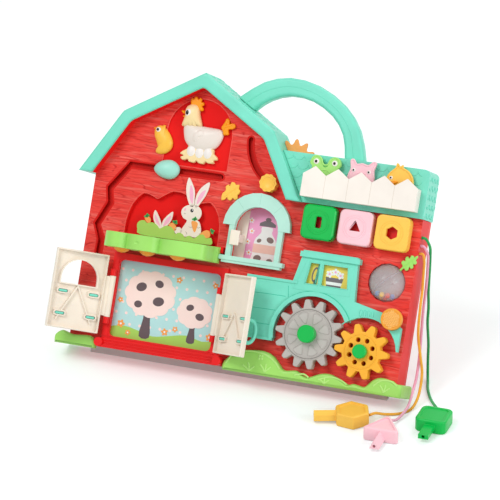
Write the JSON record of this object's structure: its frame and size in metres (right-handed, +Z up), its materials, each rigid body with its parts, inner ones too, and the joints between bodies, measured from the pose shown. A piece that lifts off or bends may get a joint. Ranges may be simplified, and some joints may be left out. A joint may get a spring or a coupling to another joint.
{
  "type": "busy board",
  "caption": "Barn-shaped busy board for a baby, leaning on a rear stand, with doors, a flap, sliders, gears, a rattle ball, pop-up animals, lock blocks and keys on cords.",
  "frame": {"origin": "middle of the foot rail's flat underside, on the floor below the board's back edge", "axes": "+X to the board's right as seen from its front, +Y to its back, +Z up; the board leans back by 27.7 degrees"},
  "size_m": [0.4772, 0.3297, 0.3185],
  "materials": {
    "mint_plastic": "smooth glossy moulding",
    "pale_mint_plastic": "smooth glossy moulding",
    "red_plastic": "glossy moulding with wood-grain relief on its face",
    "grass_plastic": "glossy moulding with leaf relief",
    "leaf_plastic": "smooth glossy moulding",
    "green_card": "printed card with a satin coat",
    "orange_plastic": "smooth glossy moulding",
    "sun_plastic": "smooth glossy moulding",
    "yellow_plastic": "smooth glossy moulding",
    "cream_plastic": "smooth glossy moulding",
    "straw_plastic": "smooth glossy moulding",
    "green_plastic": "smooth glossy moulding",
    "pink_plastic": "smooth glossy moulding",
    "grey_plastic": "smooth glossy moulding",
    "egg_plastic": "smooth glossy moulding",
    "picture_card": "printed card with a satin coat",
    "pink_card": "printed card with a satin coat",
    "yellow_card": "printed card with a satin coat",
    "clear_plastic": "clear and polished",
    "bead_plastic": "smooth beads in mixed colours",
    "pin_steel": "plain wire",
    "green_cord": "round braided cord",
    "pink_cord": "round braided cord",
    "yellow_cord": "round braided cord"
  },
  "bodies": {
    "board": {"front_shell": "red_plastic", "back_cover": "red_plastic", "roof_trim": "mint_plastic", "annex_roof": "mint_plastic", "carry_handle": "mint_plastic", "grass_left": "grass_plastic", "grass_right": "grass_plastic", "door_frame": "red_plastic", "door_sill": "red_plastic", "door_picture": "picture_card", "left_hinge_pin": "pin_steel", "right_hinge_pin": "pin_steel", "hen_body": "cream_plastic", "hen_head": "straw_plastic", "hen_comb": "orange_plastic", "hen_tail": "orange_plastic", "hen_nest": "straw_plastic", "chick_figure": "yellow_plastic", "leaf_yellow": "yellow_plastic", "leaf_green": "leaf_plastic", "flap_pin": "pin_steel", "rabbit_card": "green_card", "window_frame": "pale_mint_plastic", "window_picture": "pink_card", "tractor_body": "mint_plastic", "cab_picture": "yellow_card", "hub_grey": "green_plastic", "hub_yellow": "green_plastic", "lock_block_green": "green_plastic", "lock_block_pink": "pink_plastic", "lock_block_yellow": "yellow_plastic", "fence": "cream_plastic", "cord_green": "green_cord", "cord_pink": "pink_cord", "cord_yellow": "yellow_cord", "key_green": "green_plastic", "key_pink": "pink_plastic", "key_yellow": "yellow_plastic"},
    "egg": {"egg_slider": "egg_plastic"},
    "sun_knob": {"sun_knob": "yellow_plastic"},
    "sun_disc": {"sun_disc": "sun_plastic"},
    "bush_flap": {"bush_flap": "leaf_plastic", "flap_carrots": "orange_plastic"},
    "shutter": {"window_shutter": "cream_plastic"},
    "left_door": {"left_door": "cream_plastic", "left_door_handle": "mint_plastic"},
    "right_door": {"right_door": "cream_plastic", "right_door_handle": "mint_plastic"},
    "frog": {"frog": "leaf_plastic"},
    "pig": {"pig": "pink_plastic"},
    "pop_up_chick": {"pop_up_chick": "yellow_plastic"},
    "plunger_green": {"plunger_green": "red_plastic"},
    "plunger_pink": {"plunger_pink": "red_plastic"},
    "plunger_yellow": {"plunger_yellow": "red_plastic"},
    "headlight": {"headlight": "orange_plastic"},
    "gear_grey": {"gear_grey": "grey_plastic"},
    "gear_yellow": {"gear_yellow": "yellow_plastic"},
    "rattle_ball": {"rattle_ball": "clear_plastic", "rattle_beads": "bead_plastic"},
    "rear_stand": {"rear_stand": "red_plastic"}
  },
  "joints": [
    {"name": "left_door_swing", "type": "hinge", "parent": "board", "child": "left_door", "pos_m": [-0.152, -0.01279, 0.07774], "axis": [0, -0.4648, -0.8854], "range_deg": [-147, 25]},
    {"name": "right_door_swing", "type": "hinge", "parent": "board", "child": "right_door", "pos_m": [-0.0217, -0.01372, 0.07597], "axis": [0, 0.4648, 0.8854], "range_deg": [-145, 8]},
    {"name": "flap_fold", "type": "hinge", "parent": "board", "child": "bush_flap", "pos_m": [-0.0935, 0.02503, 0.13796], "axis": [-1, 0, 0], "range_deg": [0, 90]},
    {"name": "shutter_slide", "type": "slide", "parent": "board", "child": "shutter", "axis": [1, 0, 0], "range_m": [0, 0.038]},
    {"name": "egg_slide", "type": "slide", "parent": "board", "child": "egg", "axis": [1, 0, 0], "range_m": [-0.037, 0.06]},
    {"name": "sun_knob_swing", "type": "hinge", "parent": "board", "child": "sun_knob", "pos_m": [0.0355, 0.08884, 0.25196], "axis": [0, 0.8854, -0.4648], "range_deg": [0, 64.8]},
    {"name": "sun_slide", "type": "slide", "parent": "board", "child": "sun_disc", "axis": [0.4989, -0.4029, -0.7673], "range_m": [0, 0.0198]},
    {"name": "gear_grey_spin", "type": "hinge", "parent": "board", "child": "gear_grey", "pos_m": [0.0907, -0.0084, 0.06674], "axis": [0, 0.8854, -0.4648], "continuous": true},
    {"name": "gear_yellow_spin", "type": "hinge", "parent": "board", "child": "gear_yellow", "pos_m": [0.1539, -0.01301, 0.05797], "axis": [0, 0.8854, -0.4648], "continuous": true},
    {"name": "ball_spin", "type": "hinge", "parent": "board", "child": "rattle_ball", "pos_m": [0.1666, 0.02959, 0.1262], "axis": [0, 0.4648, 0.8854], "continuous": true},
    {"name": "headlight_press", "type": "slide", "parent": "board", "child": "headlight", "axis": [0, 0.8854, -0.4648], "range_m": [0, 0.0025], "stiffness_N_per_m": 300, "springref_m": -0.001},
    {"name": "frog_drop", "type": "slide", "parent": "board", "child": "frog", "axis": [0, -0.4648, -0.8854], "range_m": [0, 0.018]},
    {"name": "pig_drop", "type": "slide", "parent": "board", "child": "pig", "axis": [0, -0.4648, -0.8854], "range_m": [0, 0.018]},
    {"name": "chick_drop", "type": "slide", "parent": "board", "child": "pop_up_chick", "axis": [0, -0.4648, -0.8854], "range_m": [0, 0.018]},
    {"name": "plunger_green_slide", "type": "slide", "parent": "board", "child": "plunger_green", "axis": [0, -0.8854, 0.4648], "range_m": [0, 0.0041]},
    {"name": "plunger_pink_slide", "type": "slide", "parent": "board", "child": "plunger_pink", "axis": [0, -0.8854, 0.4648], "range_m": [0, 0.0041]},
    {"name": "plunger_yellow_slide", "type": "slide", "parent": "board", "child": "plunger_yellow", "axis": [0, -0.8854, 0.4648], "range_m": [0, 0.0041]},
    {"name": "stand_fold", "type": "hinge", "parent": "board", "child": "rear_stand", "pos_m": [0, 0.10806, 0.195], "axis": [-1, 0, 0], "range_deg": [0, 50]}
  ],
  "couplings": [
    {"joint": "gear_yellow_spin", "follows": "gear_grey_spin", "ratio": -1.4},
    {"joint": "sun_slide", "follows": "sun_knob_swing", "m_per_rad": 0.017242},
    {"joint": "plunger_green_slide", "follows": "frog_drop", "ratio": 0.2222},
    {"joint": "plunger_pink_slide", "follows": "pig_drop", "ratio": 0.2222},
    {"joint": "plunger_yellow_slide", "follows": "chick_drop", "ratio": 0.2222}
  ]
}
